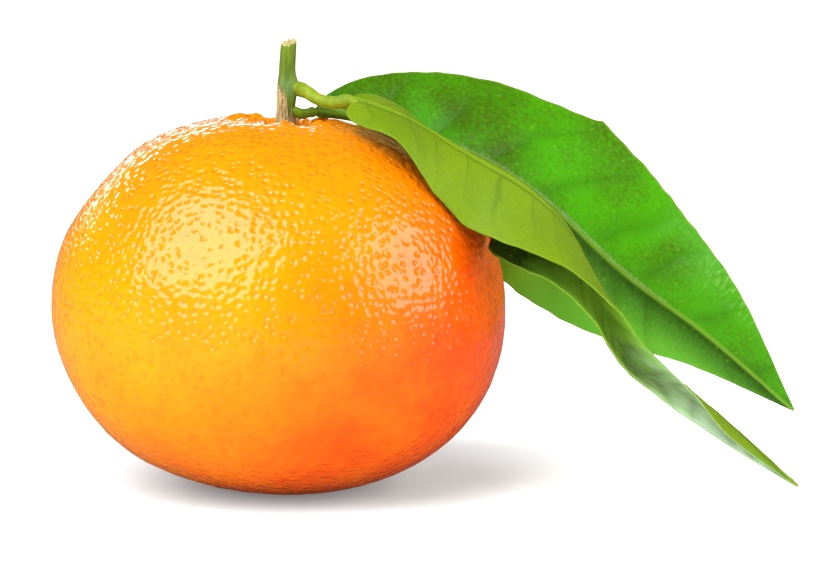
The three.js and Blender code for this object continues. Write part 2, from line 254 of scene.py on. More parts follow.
def crown_relief(tree, x, y, size):
    """Height that the hollow, its folds and its wrinkles add to the crown."""
    from_x = x - HOLLOW_X
    from_y = y - HOLLOW_Y
    distance = calc(tree, "SQRT", from_x * from_x + from_y * from_y)
    azimuth = calc(tree, "ARCTAN2", from_y, from_x) + math.pi / 2
    folds = calc(tree, "COSINE", azimuth * float(FOLD_COUNT))
    wander = clouds(tree, merge(tree, x, y, 0.0), 0.004) * 3.0
    wrinkles = calc(tree, "COSINE", azimuth * float(WRINKLE_COUNT) + wander)
    on_folds = bump(tree, distance - size["Fold Ring"], size["Fold Spread"])
    hollow = bump(tree, distance, size["Hollow Radius"]) * size["Hollow Depth"]
    return folds * on_folds * size["Fold Height"] + wrinkles * on_folds * size["Wrinkle Height"] - hollow


def next_step(tree, kind, geometry):
    """A Geometry Nodes step that works on the geometry of the step before it."""
    node = tree.nodes.new(kind)
    tree.links.new(geometry, node.inputs[0])
    return node


def finish_tree(tree, geometry, material, result):
    """The last two steps of every tree that makes a piece: realize instances, set material."""
    realized = next_step(tree, "GeometryNodeRealizeInstances", geometry)
    coated = next_step(tree, "GeometryNodeSetMaterial", realized.outputs[0])
    coated.inputs["Material"].default_value = material
    tree.links.new(coated.outputs[0], result.inputs[0])


def fruit_tree(peel):
    inputs = {name: "Float" for name in FRUIT_SIZES}
    tree, size, result = new_tree("mandarin_fruit", "GeometryNodeTree", inputs, {"Fruit": "Geometry"})
    cube = tree.nodes.new("GeometryNodeMeshCube")
    cube.inputs["Size"].default_value = (2, 2, 2)
    for axis in ("Vertices X", "Vertices Y", "Vertices Z"):
        cube.inputs[axis].default_value = FRUIT_GRID
    place = Term(tree, tree.nodes.new("GeometryNodeInputPosition").outputs[0])
    direction = ball_direction(tree, place)
    x, y, z = split(tree, direction)

    ring = calc(tree, "SQRT", x * x + y * y)
    upper = calc(tree, "GREATER_THAN", z, 0.0)
    lower = 1.0 - upper
    fullness = size["Crown Fullness"] * upper + size["Base Fullness"] * lower
    height = size["Crown Height"] * upper + size["Base Height"] * lower
    radius = size["Width"] * 0.5 * ring ** (2.0 / fullness)
    level = height * calc(tree, "SIGN", z) * calc(tree, "ABSOLUTE", z) ** (2.0 / fullness)
    out = radius / calc(tree, "MAXIMUM", ring, 0.00001)
    plan_x = x * out
    plan_y = y * out
    scar = bump(tree, radius, size["Scar Radius"]) * size["Scar Depth"]
    level = level + crown_relief(tree, plan_x, plan_y, size) * upper + scar * lower

    swelling = 0.0
    for azimuth, from_crown, width, rise in SWELLINGS:
        ring_share = math.sin(math.radians(from_crown))
        centre = (
            ring_share * math.cos(math.radians(azimuth)),
            ring_share * math.sin(math.radians(azimuth)),
            math.cos(math.radians(from_crown)),
        )
        away = vector_calc(tree, "DISTANCE", direction, centre)
        swelling = bump(tree, away, math.radians(width)) * rise + swelling

    plain = merge(tree, plan_x, plan_y, level)
    pebble = clouds(tree, plain, PEBBLE_SIZE, detail=1.5)
    skin = (pebble - 0.5) * 2.0 * size["Pebble Height"] + swelling
    surface = vector_calc(tree, "ADD", plain, vector_calc(tree, "SCALE", direction, skin))

    shaped = next_step(tree, "GeometryNodeSetPosition", cube.outputs["Mesh"])
    put(tree, surface, shaped.inputs["Position"])
    leaning = next_step(tree, "GeometryNodeTransform", shaped.outputs[0])
    leaning.inputs["Translation"].default_value = FRUIT_CENTRE
    leaning.inputs["Rotation"].default_value = LEAN
    # Nothing of the fruit lies under the floor: it is pressed flat where it rests.
    resting = next_step(tree, "GeometryNodeSetPosition", leaning.outputs[0])
    at_x, at_y, at_z = split(tree, place)
    put(tree, merge(tree, at_x, at_y, calc(tree, "MAXIMUM", at_z, 0.0)), resting.inputs["Position"])
    smooth = next_step(tree, "GeometryNodeSetShadeSmooth", resting.outputs[0])
    finish_tree(tree, smooth.outputs[0], peel, result)
    return tree


def new_material(name):
    """A material with an empty Principled surface, its tree and its Object coordinates."""
    material = bpy.data.materials.new(name)
    material.use_nodes = True
    tree = material.node_tree
    coordinates = tree.nodes.new("ShaderNodeTexCoord")
    return material, tree, tree.nodes["Principled BSDF"], Term(tree, coordinates.outputs["Object"])


def blend(tree, share, first, second):
    """A colour between two, by a share from 0 to 1."""
    node = tree.nodes.new("ShaderNodeMix")
    node.data_type = "RGBA"
    put(tree, share, node.inputs[0])
    for value, socket in zip((first, second), (node.inputs[6], node.inputs[7])):
        put(tree, value if isinstance(value, Term) else (*value, 1), socket)
    return Term(tree, node.outputs[2])


def limit(tree, value, low, high):
    """0 below low, 1 above high and even between them."""
    node = tree.nodes.new("ShaderNodeMapRange")
    node.clamp = True
    put(tree, value, node.inputs["Value"])
    node.inputs["From Min"].default_value = low
    node.inputs["From Max"].default_value = high
    return Term(tree, node.outputs[0])


def relief(tree, surface, height, distance):
    """Turns a height field into the surface's normal."""
    node = tree.nodes.new("ShaderNodeBump")
    node.inputs["Distance"].default_value = distance
    put(tree, height, node.inputs["Height"])
    tree.links.new(node.outputs["Normal"], surface.inputs["Normal"])


def place_group(tree, group, values):
    """Places a shared group in a material, with its own values, and gives its outputs by name."""
    node = tree.nodes.new("ShaderNodeGroup")
    node.node_tree = group
    for name, value in values.items():
        put(tree, (*value, 1) if isinstance(value, tuple) else value, node.inputs[name])
    return {output.name: Term(tree, output) for output in node.outputs}


def mottle_group():
    """Uneven colour of a living skin: broad patches between two colours, with fine grain over them."""
    inputs = {"Position": "Vector", "Patch Size": "Float", "Grain Size": "Float", "Grain": "Float"}
    inputs |= {"First": "Color", "Second": "Color", "Lean": "Float"}
    outputs = {"Colour": "Color", "Patch": "Float"}
    tree, given, result = new_tree("mottle", "ShaderNodeTree", inputs, outputs)
    patch = clouds(tree, given["Position"], given["Patch Size"], detail=3.0)
    grain = clouds(tree, given["Position"], given["Grain Size"], detail=2.0)
    share = limit(tree, patch + given["Lean"] + (grain - 0.5) * given["Grain"], 0.3, 0.7)
    put(tree, blend(tree, share, given["First"], given["Second"]), result.inputs["Colour"])
    put(tree, share, result.inputs["Patch"])
    return tree


def gland_group():
    """Oil glands under a skin: round dots at one spacing, whose reach is a share of it."""
    inputs = {"Position": "Vector", "Spacing": "Float", "Reach": "Float"}
    tree, given, result = new_tree("oil_glands", "ShaderNodeTree", inputs, {"Gland": "Float"})
    away = cells(tree, given["Position"], given["Spacing"], randomness=0.7)
    put(tree, bump(tree, away, given["Reach"]), result.inputs["Gland"])
    return tree


MOTTLE = mottle_group()
GLANDS = gland_group()


def mottled(tree, position, first, second, patch, grain, depth, lean=0.0):
    """The mottle group between two colours, by its patch size, grain size, depth of grain and lean."""
    sizes = {"Patch Size": patch, "Grain Size": grain, "Grain": depth, "Lean": lean}
    return place_group(tree, MOTTLE, {"Position": position, "First": first, "Second": second} | sizes)


def gland_dots(tree, position, spacing, reach):
    return place_group(tree, GLANDS, {"Position": position, "Spacing": spacing, "Reach": reach})["Gland"]


def ray(tree, kind):
    """1 where the surface is met by a ray of one kind, else 0."""
    return Term(tree, tree.nodes.new("ShaderNodeLightPath").outputs[kind])


def coat(tree, surface, colour, roughness):
    put(tree, colour, surface.inputs["Base Color"])
    put(tree, roughness, surface.inputs["Roughness"])


PEEL_GOLD = (0.93, 0.275, 0.0004)
PEEL_AMBER = (0.92, 0.225, 0.0004)
PEEL_ORANGE = (0.87, 0.125, 0.0003)
PEEL_DEEP_SHADE = (0.75, 0.063, 0.0003)
PEEL_GLAND = (0.84, 0.13, 0.0004)
PEEL_THROWN = (0.22, 0.28, 0.28)


def peel_material():
    material, tree, surface, position = new_material("mandarin_peel")
    x, y, z = split(tree, position)
    # The peel is gold on the upper left and turns orange towards +X, the floor and the back, partly its
    # own colour and partly painted light and shade.
    turn = limit(tree, x * 30.0 - z * 30.0 + y * 8.0 + 1.35, 0.0, 1.0)
    # The darkest, reddest orange at the +X edge is painted shade, where the leaves shade the peel.
    orange_edge_shade = limit(tree, x, 0.017, 0.032)
    first = blend(tree, turn, PEEL_GOLD, PEEL_ORANGE)
    second = blend(tree, turn, PEEL_AMBER, PEEL_DEEP_SHADE)
    lean = orange_edge_shade * 0.3 - 0.06
    patches = mottled(tree, position, first, second, 0.012, grain=0.0016, depth=0.4, lean=lean)
    own = vector_calc(tree, "SUBTRACT", position, tuple(FRUIT_CENTRE))
    dots = gland_dots(tree, own, GLAND_SPACING, reach=0.27)
    pits = gland_dots(tree, own, GLAND_SPACING, reach=0.36)
    colour = blend(tree, dots * 0.26, patches["Colour"], PEEL_GLAND)
    # The light that the peel throws on the sweep and the leaves is almost neutral.
    colour = blend(tree, ray(tree, "Is Diffuse Ray") * 0.8, colour, PEEL_THROWN)
    pebble = clouds(tree, own, 0.0013, detail=1.0)
    fine = clouds(tree, own, 0.0004, detail=1.0)
    coat(tree, surface, colour, 0.07 + fine * 0.08)
    surface.inputs["IOR"].default_value = 1.56
    relief(tree, surface, pebble * 0.75 + fine * 0.05 - pits * 0.85, 0.00022)
    return material


fruit = grow("fruit_peel", fruit_tree(peel_material()), FRUIT_SIZES, bpy.data.meshes.new("fruit_peel"))
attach(fruit, "root")
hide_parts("fruit")


# ---- calyx --------------------------------------------------------------------------------------
# The calyx is the little woody star that held the flower: five blunt lobes, dry and wrinkled, lying
# in the hollow of the peel with the twig standing on it.

CALYX_RADIUS = 0.0027
CALYX_LOBES = 5
CALYX_NOTCH = 0.22
CALYX_SEAT = 0.00036
CALYX_THICKNESS = 0.0007
CALYX_SIDES = 120
CALYX_GREEN = (0.10, 0.19, 0.02)
CALYX_TAN = (0.34, 0.27, 0.09)


def over_hollow(x, y, rise):
    """A point over the hollow of the peel, from its place in the hollow's own plan."""
    plan_x = HOLLOW_X + x
    plan_y = HOLLOW_Y + y
    share = math.hypot(plan_x, plan_y) / (FRUIT_WIDTH / 2)
    dome = CROWN_HEIGHT * (1 - share**CROWN_FULLNESS) ** (1 / CROWN_FULLNESS)
    away = math.hypot(x, y)
    azimuth = math.atan2(y, x) + math.pi / 2
    folds = FOLD_HEIGHT * math.cos(FOLD_COUNT * azimuth) * hill(away - FOLD_RING, FOLD_SPREAD)
    height = dome - HOLLOW_DEPTH * hill(away, HOLLOW_RADIUS) + folds + rise
    return LEAN.to_matrix() @ Vector((plan_x, plan_y, height)) + FRUIT_CENTRE


def hill(distance, width):
    return math.exp(-((distance / width) ** 2))


def closed_body(name, rings, material, marks=None):
    """A piece from equal closed rings of points, with a fan over each end. Marks are values by point."""
    sides = len(rings[0])
    middles = [sum(ring, Vector()) / sides for ring in (rings[0], rings[-1])]
    first_middle = len(rings) * sides
    faces = []
    for j in range(sides):
        k = (j + 1) % sides
        for here in range(0, first_middle - sides, sides):
            faces.append((here + j, here + k, here + sides + k, here + sides + j))
        last = first_middle - sides
        faces.append((first_middle, k, j))
        faces.append((first_middle + 1, last + j, last + k))
    mesh = bpy.data.meshes.new(name)
    mesh.from_pydata([point for ring in rings for point in ring] + middles, [], faces)
    for mark, rows in (marks or {}).items():
        values = [value for row in rows for value in row]
        values += [sum(rows[0]) / sides, sum(rows[-1]) / sides]
        mesh.attributes.new(mark, "FLOAT", "POINT").data.foreach_set("value", values)
    mesh.shade_smooth()
    mesh.materials.append(material)
    piece = bpy.data.objects.new(name, mesh)
    scene.collection.objects.link(piece)
    return piece


def calyx_material():
    material, tree, surface, position = new_material("calyx_skin")
    patches = mottled(tree, position, CALYX_GREEN, CALYX_TAN, 0.0012, grain=0.0002, depth=0.6)
    coat(tree, surface, patches["Colour"], 0.55 + patches["Patch"] * 0.25)
    grain = clouds(tree, position, 0.0003, detail=3.0)
    relief(tree, surface, grain, 0.00012)
    return material


def calyx_ring(share, rise, wrinkle):
    ring = []
    for j in range(CALYX_SIDES):
        azimuth = 2 * math.pi * j / CALYX_SIDES
        between_lobes = 0.5 - 0.5 * math.cos(CALYX_LOBES * azimuth)
        radius = CALYX_RADIUS * share * (1 - CALYX_NOTCH * between_lobes * share**2)
        rough = math.cos(3 * CALYX_LOBES * azimuth) + noise.noise(Vector((j * 0.4, share * 3, 0)))
        x, y = radius * math.cos(azimuth), radius * math.sin(azimuth)
        ring.append(over_hollow(x, y, rise + wrinkle * rough))
    return ring


under_shares = [step / 10 for step in range(1, 11)]
calyx_rings = [calyx_ring(share, CALYX_SEAT, 0) for share in under_shares]
for share in reversed(under_shares):
    swell = CALYX_THICKNESS * (1 - 0.6 * share**3)
    calyx_rings.append(calyx_ring(share, CALYX_SEAT + swell, 0.00007 * share))
calyx = closed_body("calyx_button", calyx_rings, calyx_material())
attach(calyx, "root")
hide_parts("calyx")


# ---- twig ---------------------------------------------------------------------------------------
# The twig is a cut young shoot: smooth green bark above the swollen node where the front leaf's stalk
# leaves it, old bark below that has split into tan cork ridges, and pale wood at the ragged cut.

TWIG_WIDTH = 0.00235
TWIG_FOOT_WIDTH = 0.0029
TWIG_HEIGHT = 0.0131
TWIG_LEAN = 0.0005
TWIG_CUT_START = 0.95  # share of the height where the bark begins to follow the cut
TWIG_CUT_SLANT = 0.0006  # height of the cut's +X edge over its -X edge
TWIG_CUT_FALL = 0.0007  # height of the cut's back edge over its front edge
UPPER_STALK_WIDTH = 0.0019
UPPER_STALK_JOIN = 0.0063
LOWER_STALK_WIDTH = 0.0015
LOWER_STALK_JOIN = 0.0028
JOINT_GAP = 0.0003
TWIG_SIDES = 96
TWIG_STEPS = 200
TWIG_STATIONS = [0, 0.25, 0.46, 0.55, 0.66, 0.8, 1]
TWIG_SHARES = [1.23, 1.18, 1.12, 1.14, 1.02, 1.0, 0.96]  # widths as shares of the twig's own
CORK_TOP = 0.46  # share of the height where the split bark ends

twig_low, twig_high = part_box("twig")
TWIG_FOOT = Vector((twig_low.x + TWIG_FOOT_WIDTH / 2, (twig_low.y + twig_high.y) / 2, twig_low.z))


def value_along(stations, values, at):
    """A smooth value along a list of stations."""
    last = len(stations) - 1

    def slope(i):
        before = max(i - 1, 0)
        after = min(i + 1, last)
        return (values[after] - values[before]) / (stations[after] - stations[before])

    i = 0
    while i < last - 1 and stations[i + 1] <= at:
        i += 1
    span = stations[i + 1] - stations[i]
    t = (at - stations[i]) / span
    rise = t * t * (3 - 2 * t)
    level = values[i] * (1 - rise) + values[i + 1] * rise
    return level + slope(i) * span * t * (1 - t) ** 2 - slope(i + 1) * span * t * t * (1 - t)


def twig_middle(height):
    lean = TWIG_LEAN * (height / TWIG_HEIGHT) ** 2
    return TWIG_FOOT + Vector((lean, 0, height))


def cork_amount(height_share, azimuth):
    """1 where the bark is split cork, 0 where it is smooth: higher up on the -X side of the twig."""
    side = 0.5 - 0.5 * math.cos(azimuth)
    wander = 0.2 * noise.noise(Vector((math.cos(azimuth) * 2.6, math.sin(azimuth) * 2.6, 3.1)))
    edge = CORK_TOP + 0.36 * (side - 0.5) + wander
    return min(max((edge - height_share) / 0.1, 0), 1)


def twig_point(step, side):
    share = step / TWIG_STEPS
    height = share * TWIG_HEIGHT
    azimuth = 2 * math.pi * side / TWIG_SIDES
    out = Vector((math.cos(azimuth), math.sin(azimuth), 0))
    radius = value_along(TWIG_STATIONS, TWIG_SHARES, share) * TWIG_WIDTH / 2
    towards_stalk = max(out.x, 0) ** 2
    radius += 0.00042 * towards_stalk * hill(height - UPPER_STALK_JOIN - 0.0005, 0.0016)
    cork = cork_amount(share, azimuth)
    ridges = noise.noise(Vector((out.x * 7.5, out.y * 7.5, height * 330)))
    breaks = noise.noise(Vector((out.x * 3 + 9, out.y * 3, height * 1300)))
    furrow = max(1 - min(abs(ridges) * 3.5, 1), 0.8 - min(abs(breaks) * 5, 0.8))
    radius += cork * (0.00006 - 0.00016 * furrow)
    radius += 0.00003 * noise.noise(Vector((out.x * 2, out.y * 2, height * 500)))
    point = twig_middle(height) + out * radius
    if share > TWIG_CUT_START:
        ragged = noise.noise(Vector((out.x * 3.4, out.y * 3.4, 7)))
        near_cut = (share - TWIG_CUT_START) / (1 - TWIG_CUT_START)
        tilt = (TWIG_CUT_SLANT * out.x + TWIG_CUT_FALL * out.y) * radius / TWIG_WIDTH
        point.z += near_cut * (0.0004 * ragged + tilt)
    return point, cork * (0.35 + 0.65 * (1 - furrow)), cork


def twig_rings():
    rings, ridge_rows, cork_rows, wood_rows = [], [], [], []
    for step in range(TWIG_STEPS + 1):
        made = [twig_point(step, side) for side in range(TWIG_SIDES)]
        rings.append([point for point, _, _ in made])
        ridge_rows.append([ridge for _, ridge, _ in made])
        cork_rows.append([cork for _, _, cork in made])
        wood_rows.append([0.0] * TWIG_SIDES)
    # The cut end steps in over the bark's edge and runs over rough pale wood to the pith.
    rim = rings[-1]
    middle = sum(rim, Vector()) / TWIG_SIDES
    for step, share in enumerate((0.97, 0.9, 0.75, 0.6, 0.45, 0.3, 0.15)):
        ring = []
        for point in rim:
            torn = 0.00016 * noise.noise((point - middle) * share * 2600 + Vector((0, 0, step)))
            ring.append(middle + (point - middle) * share + Vector((0, 0, 0.00006 + torn)))
        rings.append(ring)
        ridge_rows.append([0.0] * TWIG_SIDES)
        cork_rows.append([0.0] * TWIG_SIDES)
        wood_rows.append([1.0] * TWIG_SIDES)
    return rings, {"ridge": ridge_rows, "cork": cork_rows, "wood": wood_rows}


TWIG_GREEN = (0.070, 0.130, 0.004)
TWIG_LIGHT_GREEN = (0.155, 0.225, 0.008)
NODE_BLOOM = (0.150, 0.260, 0.080)
CORK_TAN = (0.50, 0.34, 0.15)
CORK_DARK = (0.085, 0.075, 0.014)
CUT_WOOD = (0.50, 0.43, 0.17)


def mark_of(tree, name):
    node = tree.nodes.new("ShaderNodeAttribute")
    node.attribute_name = name
    return Term(tree, node.outputs["Fac"])


def twig_material():
    material, tree, surface, position = new_material("twig_bark")
    x, y, z = split(tree, position)
    drawn_out = merge(tree, x, y, z * 0.12)
    green = mottled(tree, drawn_out, TWIG_GREEN, TWIG_LIGHT_GREEN, 0.0007, grain=0.00016, depth=0.5)
    bloom = bump(tree, z - (TWIG_FOOT.z + UPPER_STALK_JOIN + 0.0005), 0.0013)
    skin = blend(tree, bloom * 0.6, green["Colour"], NODE_BLOOM)
    cork, ridge = mark_of(tree, "cork"), mark_of(tree, "ridge")
    lean = ridge * 0.9 - 0.42
    ridged = mottled(tree, drawn_out, CORK_DARK, CORK_TAN, 0.0003, grain=0.00009, depth=0.9, lean=lean)
    bark = blend(tree, cork, skin, ridged["Colour"])
    coat(tree, surface, blend(tree, mark_of(tree, "wood"), bark, CUT_WOOD), 0.45 + cork * 0.4)
    surface.inputs["Specular IOR Level"].default_value = 0.25
    fibres = clouds(tree, drawn_out, 0.00018, detail=3.0)
    relief(tree, surface, fibres, 0.00014)
    return material


rings, marks = twig_rings()
twig = closed_body("twig_shoot", rings, twig_material(), marks)
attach(twig, "root")
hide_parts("twig")


# ---- leaf stalks --------------------------------------------------------------------------------
# Each leaf hangs on a short stalk: a bar of living tissue with a flared foot on the twig, lightly
# grooved along its top, and a swollen knee at its far end where the blade is jointed on.

STALK_FLARE = 1.15
STALK_STATIONS = [0, 0.12, 0.5, 0.85, 1]
STALK_SHARES = [STALK_FLARE, 1.04, 0.96, 1, 1.05]
STALK_ROOT = Vector((-0.0013, -0.0004, 0.0006))  # the way its wood runs on into the twig
STALK_TAIL = 0.0022  # how far it tapers on into the blade's midrib
STALK_STEPS = 90
STALK_ROOT_STEPS = 6
STALK_TAIL_STEPS = 12
STALK_SIDES = 64

# Each stalk's middle line, in millimetres from where it leaves the twig.
UPPER_STALK_LINE = [(0, 0, 0), (0.9, -0.4, -0.4), (2.5, -1.6, -1.3), (4.7, -3, -1.6), (6.6, -3.9, -1.3)]
LOWER_STALK_LINE = [(0, 0, 0), (0.6, 0.3, 0), (1.2, 0.9, 0.05), (1.6, 1.7, 0.1)]
STALK_LIME = (0.260, 0.330, 0.006)
STALK_FRESH = (0.170, 0.290, 0.008)
STALK_GREEN = (0.110, 0.210, 0.006)
STALK_UNDER = (0.290, 0.230, 0.006)


def in_metres(points):
    return [Vector(point) * 0.001 for point in points]


class Route:
    """A smooth curve through points that keeps its speed even, with a place and a direction along it."""

    def __init__(self, points):
        ends = [points[0] * 2 - points[1], *points, points[-1] * 2 - points[-2]]
        self.places = []
        for i in range(1, len(ends) - 2):
            self.places += [self.between(ends[i - 1 : i + 3], step / 60) for step in range(60)]
        self.places.append(points[-1])
        self.lengths = [0.0]
        for a, b in zip(self.places, self.places[1:]):
            self.lengths.append(self.lengths[-1] + (b - a).length)

    @staticmethod
    def between(points, t):
        gaps = [max((b - a).length ** 0.5, 1e-9) for a, b in zip(points, points[1:])]
        a, b, c, d = points
        before = (b - a) / gaps[0] - (c - a) / (gaps[0] + gaps[1]) + (c - b) / gaps[1]
        after = (c - b) / gaps[1] - (d - b) / (gaps[1] + gaps[2]) + (d - c) / gaps[2]
        before *= gaps[1]
        after *= gaps[1]
        square = t * t
        cube = square * t
        place = b * (2 * cube - 3 * square + 1) + c * (3 * square - 2 * cube)
        return place + before * (cube - 2 * square + t) + after * (cube - square)

    def at(self, share):
        """The place at a share of the length."""
        target = share * self.lengths[-1]
        low, high = 0, len(self.lengths) - 1
        while high - low > 1:
            middle = (low + high) // 2
            if self.lengths[middle] <= target:
                low = middle
            else:
                high = middle
        part = (target - self.lengths[low]) / (self.lengths[high] - self.lengths[low])
        return self.places[low].lerp(self.places[high], part)

    def direction(self, share):
        step = 0.004
        return (self.at(min(share + step, 1)) - self.at(max(share - step, 0))).normalized()


def stalk_points(join_height, width, offsets):
    start = twig_middle(join_height)
    leaving = offsets[1].normalized()
    foot_reach = STALK_FLARE * width / 2 * math.sqrt(1 - leaving.x**2)
    twig_share = value_along(TWIG_STATIONS, TWIG_SHARES, join_height / TWIG_HEIGHT)
    start.x += max(twig_share * TWIG_WIDTH, UPPER_STALK_WIDTH * STALK_FLARE) / 2 + JOINT_GAP + foot_reach
    return [start + offset for offset in offsets]


def stalk_rings(route, width):
    rings = []
    for step in range(-STALK_ROOT_STEPS, STALK_STEPS + STALK_TAIL_STEPS + 1):
        share = min(max(step, 0), STALK_STEPS) / STALK_STEPS
        root = max(-step, 0) / STALK_ROOT_STEPS
        tail = max(step - STALK_STEPS, 0) / STALK_TAIL_STEPS
        along = route.direction(share)
        middle = route.at(share) + along * (tail * STALK_TAIL) + STALK_ROOT * root
        middle.z -= 0.0006 * tail**2
        back = (Vector((0, 1, 0)) - along * along.y).normalized()
        up = along.cross(back)
        radius = value_along(STALK_STATIONS, STALK_SHARES, share) * width / 2
        radius *= 1 - 0.8 * tail**1.5 - 0.3 * root**2
        ring = []
        for j in range(STALK_SIDES):
            angle = 2 * math.pi * j / STALK_SIDES
            groove = 0.1 * hill((angle - math.pi * 1.5), 0.4) * math.sin(math.pi * share)
            lumps = 0.03 * noise.noise(Vector((math.cos(angle) * 1.5, math.sin(angle) * 1.5, share * 9)))
            reach = radius * (1 - groove + lumps)
            ring.append(middle + back * reach * math.cos(angle) + up * reach * math.sin(angle))
        rings.append(ring)
    return rings


def stalk_material(name, top):
    material, tree, surface, position = new_material(name)
    patches = mottled(tree, position, top, STALK_GREEN, 0.0016, grain=0.0002, depth=0.45, lean=-0.08)
    normal = Term(tree, tree.nodes.new("ShaderNodeNewGeometry").outputs["Normal"])
    facing_down = calc(tree, "MAXIMUM", split(tree, normal)[2] * -1.0, 0.0)
    colour = blend(tree, facing_down * 0.8, patches["Colour"], STALK_UNDER)
    dots = gland_dots(tree, position, 0.00032, reach=0.3)
    coat(tree, surface, colour, 0.42 + dots * 0.15)
    surface.inputs["Specular IOR Level"].default_value = 0.25
    relief(tree, surface, dots, 0.00003)
    return material


upper_points = stalk_points(UPPER_STALK_JOIN, UPPER_STALK_WIDTH, in_metres(UPPER_STALK_LINE))
lower_points = stalk_points(LOWER_STALK_JOIN, LOWER_STALK_WIDTH, in_metres(LOWER_STALK_LINE))
for name, points, width, top in (
    ("upper_stalk", upper_points, UPPER_STALK_WIDTH, STALK_LIME),
    ("lower_stalk", lower_points, LOWER_STALK_WIDTH, STALK_FRESH),
):
    skin = stalk_material(name + "_skin", top)
    stalk = closed_body(name + "_bar", stalk_rings(Route(points), width), skin)
    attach(stalk, "root")
    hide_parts(name)


# ---- leaves -------------------------------------------------------------------------------------
# A leaf is a thin blade in two halves on its midrib, with side veins pressed into its glossy upper
# face and standing out of its matt under face, and a fine pale edge. The front leaf is folded shut
# along its midrib and twisted, so its under face shows. The back leaf shows its upper face.

BLADE_THICKNESS = 0.00036
MARGIN_THICKNESS = 0.0002
MIDRIB_HEIGHT = 0.0004
MIDRIB_WIDTH = 0.00032
MIDRIB_SWELL = 0.0004  # extra thickness of the midrib where the stalk runs into it
BLADE_CLEARANCE = 0.0005
LEAF_STEPS = 300
LEAF_COLUMNS = 40
VEIN_SLANT = 0.42
VEIN_BEND = 17  # per metre: how fast a side vein turns towards the tip
VEIN_WIDTH = 0.00014
FURROW_WIDTH = 0.0013  # of the soft furrow that a side vein lies in
VEIN_RELIEF = 0.00008
QUILT_RELIEF = 0.00014

FRONT_LEAF = {
    "name": "front_leaf",
    "base": upper_points[-1],
    "stalk_width": UPPER_STALK_WIDTH,
    "length": 0.090,
    "half_width": 0.0103,
    "fullest_at": 0.31,
    "taper": 0.46,
    "curl": 26,
    "rib_above": True,
    "corner_at": 0.0,
    "corner_share": 0.0,
    "vein_spacing": 0.0054,
    "seed": 3,
    "route": [
        (0, 0, 0),
        (7.3, -1.6, -2.2),
        (16.3, -3.5, -7.1),
        (25.7, -7.4, -12.2),
        (31.8, -7.6, -18.9),
        (35.4, -5.6, -28.4),
        (40.6, -4.1, -37.7),
        (49.5, -4.8, -42.2),
        (56.3, -6.4, -47.6),
        (64.2, -8.4, -54.7),
    ],
    "stations": [0, 0.1, 0.2, 0.3, 0.4, 0.5, 0.6, 0.7, 0.78, 0.87, 1],
    "near_angles": [60, 73, 53, 33, 58, 96, 113, 120, 97, 68, 60],
    "far_angles": [-110, -87, -60, -20, 27, 73, 83, 82, 57, 42, 28],
}
BACK_LEAF = {
    "name": "back_leaf",
    "base": lower_points[-1],
    "stalk_width": LOWER_STALK_WIDTH,
    "length": 0.086,
    "half_width": 0.0148,
    "fullest_at": 0.42,
    "taper": 0.74,
    "curl": 14,
    "rib_above": False,
    "corner_at": 0.0374,
    "corner_share": 0.1,
    "vein_spacing": 0.0094,
    "seed": 8,
    "route": [
        (0, 0, 0),
        (12.1, 3.5, -3.1),
        (24.3, 6.2, -7.3),
        (34.4, 5.8, -14.2),
        (45.6, 5.8, -24.4),
        (57.6, 4, -33.2),
        (70.6, 1.2, -44.3),
    ],
    "stations": [0, 0.15, 0.3, 0.5, 0.7, 0.85, 1],
    "near_angles": [-109, -78, -46, -22, -36, -47, -52],
    "far_angles": [215, 221, 221, 202, 184, 162, 146],
}


def clear_of_peel(point, room):
    """Moves a point of a blade out of the fruit, as far as the blade's clearance asks."""
    lean = LEAN.to_matrix()
    local = lean.transposed() @ (point - FRUIT_CENTRE)
    fullness = CROWN_FULLNESS if local.z > 0 else BASE_FULLNESS
    height = (CROWN_HEIGHT if local.z > 0 else BASE_HEIGHT) + room
    across = math.hypot(local.x, local.y) / (FRUIT_WIDTH / 2 + room)
    reach = (across**fullness + (abs(local.z) / height) ** fullness) ** (1 / fullness)
    if reach < 1:
        local /= reach
    return lean @ local + FRUIT_CENTRE


def side_vein(leaf, along, away, side):
    """How near a point lies to a side vein and to its furrow, both from 0 to 1."""
    start = along - away * VEIN_SLANT - away * away * VEIN_BEND
    phase = start / leaf["vein_spacing"] + (0.5 if side > 0 else 0.0)
    phase += 0.6 * noise.noise(Vector((phase * 0.8, leaf["seed"], side)))
    phase += 0.16 * noise.noise(Vector((along * 190, away * 190, leaf["seed"])))
    nearest = abs(phase - round(phase)) * leaf["vein_spacing"] * 0.85
    return hill(nearest, VEIN_WIDTH), hill(nearest, FURROW_WIDTH)


